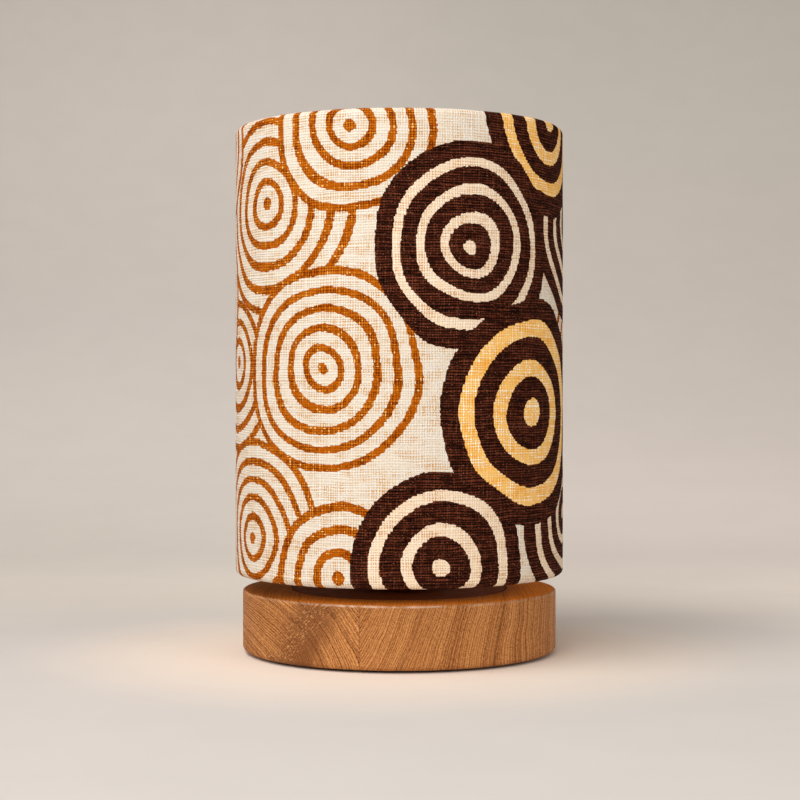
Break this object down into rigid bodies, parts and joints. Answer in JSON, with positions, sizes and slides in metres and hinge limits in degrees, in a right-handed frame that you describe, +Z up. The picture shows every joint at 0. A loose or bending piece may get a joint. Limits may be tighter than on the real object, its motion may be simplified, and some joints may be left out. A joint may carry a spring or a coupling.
{
  "type": "rotating table lamp",
  "caption": "Table lamp whose printed fabric cylinder shade is turned by a geared motor hidden in a round wooden base.",
  "frame": {"origin": "on the surface the lamp stands on, under the middle of the base", "axes": "+Z up along the shade's axis of rotation, -Y the front, +Y the back with the cord inlet"},
  "size_m": [0.16, 0.16, 0.2542],
  "materials": {
    "oak_wood": "satin oiled",
    "shade_fabric": "coarse printed slub cotton",
    "shade_liner": "matt translucent sheet",
    "white_wire": "white powder coat",
    "cover_paint": "matt black",
    "pad_rubber": "matt",
    "zinc_steel": "zinc plated",
    "motor_steel": "drawn and plated",
    "bearing_steel": "ground",
    "hub_aluminium": "bronze anodised, turned",
    "gear_acetal": "natural acetal",
    "pipe_brass": "satin",
    "holder_phenolic": "moulded black",
    "holder_ceramic": "unglazed steatite",
    "contact_brass": "stamped",
    "bulb_opal": "opal",
    "bulb_plastic": "moulded white",
    "bulb_nickel": "nickel plated",
    "bulb_black": "vitrified black",
    "board_white": "solder resist",
    "switch_black": "fine texture",
    "rocker_black": "moulded",
    "gland_black": "moulded nylon",
    "block_plastic": "moulded",
    "lead_sheath": "smooth sheath"
  },
  "bodies": {
    "base": {"base_plinth": "oak_wood", "bottom_cover": "cover_paint", "cover_screws": "zinc_steel", "foot_pads": "pad_rubber", "motor_case": "motor_steel", "motor_plate": "motor_steel", "motor_screws": "zinc_steel", "bearing_inner_rings": "bearing_steel", "bearing_spacer": "pipe_brass", "lamp_pipe": "pipe_brass", "pipe_lower_nut": "pipe_brass", "pipe_washer": "zinc_steel", "pipe_clamp_nut": "pipe_brass", "bearing_nut": "pipe_brass", "holder_cap": "holder_phenolic", "holder_sleeve": "holder_phenolic", "holder_insert": "holder_ceramic", "holder_screw_shell": "contact_brass", "holder_contact": "contact_brass", "bulb_tip": "bulb_nickel", "bulb_insulator": "bulb_black", "bulb_cap": "bulb_nickel", "bulb_collar": "bulb_plastic", "led_board": "board_white", "bulb_globe": "bulb_opal", "switch_housing": "switch_black", "switch_blades": "contact_brass", "cord_gland": "gland_black", "gland_nut": "gland_black", "terminal_block": "block_plastic", "terminal_screws": "contact_brass", "block_screw": "zinc_steel", "motor_lead": "lead_sheath", "lamp_lead": "lead_sheath", "switch_lead": "lead_sheath"},
    "turntable": {"turntable_hub": "hub_aluminium", "ring_gear": "gear_acetal", "gear_screws": "zinc_steel", "bearing_outer_rings": "bearing_steel", "shade_frame": "white_wire", "shade_top_ring": "white_wire", "shade_liner": "shade_liner", "shade_fabric": "shade_fabric", "shade_ring_nut": "holder_phenolic"},
    "drive_pinion": {"drive_pinion": "gear_acetal", "motor_shaft": "bearing_steel"},
    "bearing_cages": {"bearing_cages": "pipe_brass", "bearing_balls": "bearing_steel"},
    "rocker": {"switch_rocker": "rocker_black"}
  },
  "joints": [
    {"name": "shade_spin", "type": "hinge", "parent": "base", "child": "turntable", "pos_m": [0, 0, 0.03], "axis": [0, 0, 1], "continuous": true},
    {"name": "pinion_spin", "type": "hinge", "parent": "base", "child": "drive_pinion", "pos_m": [0, -0.0375, 0.027], "axis": [0, 0, 1], "continuous": true},
    {"name": "cage_spin", "type": "hinge", "parent": "base", "child": "bearing_cages", "pos_m": [0, 0, 0.037], "axis": [0, 0, 1], "continuous": true},
    {"name": "rocker_tilt", "type": "hinge", "parent": "base", "child": "rocker", "pos_m": [0.03905, 0.0625, 0.0117], "axis": [0, 0, 1], "range_deg": [0, 20]}
  ],
  "couplings": [
    {"joint": "pinion_spin", "follows": "shade_spin", "ratio": -4},
    {"joint": "cage_spin", "follows": "shade_spin", "ratio": 0.57241}
  ]
}
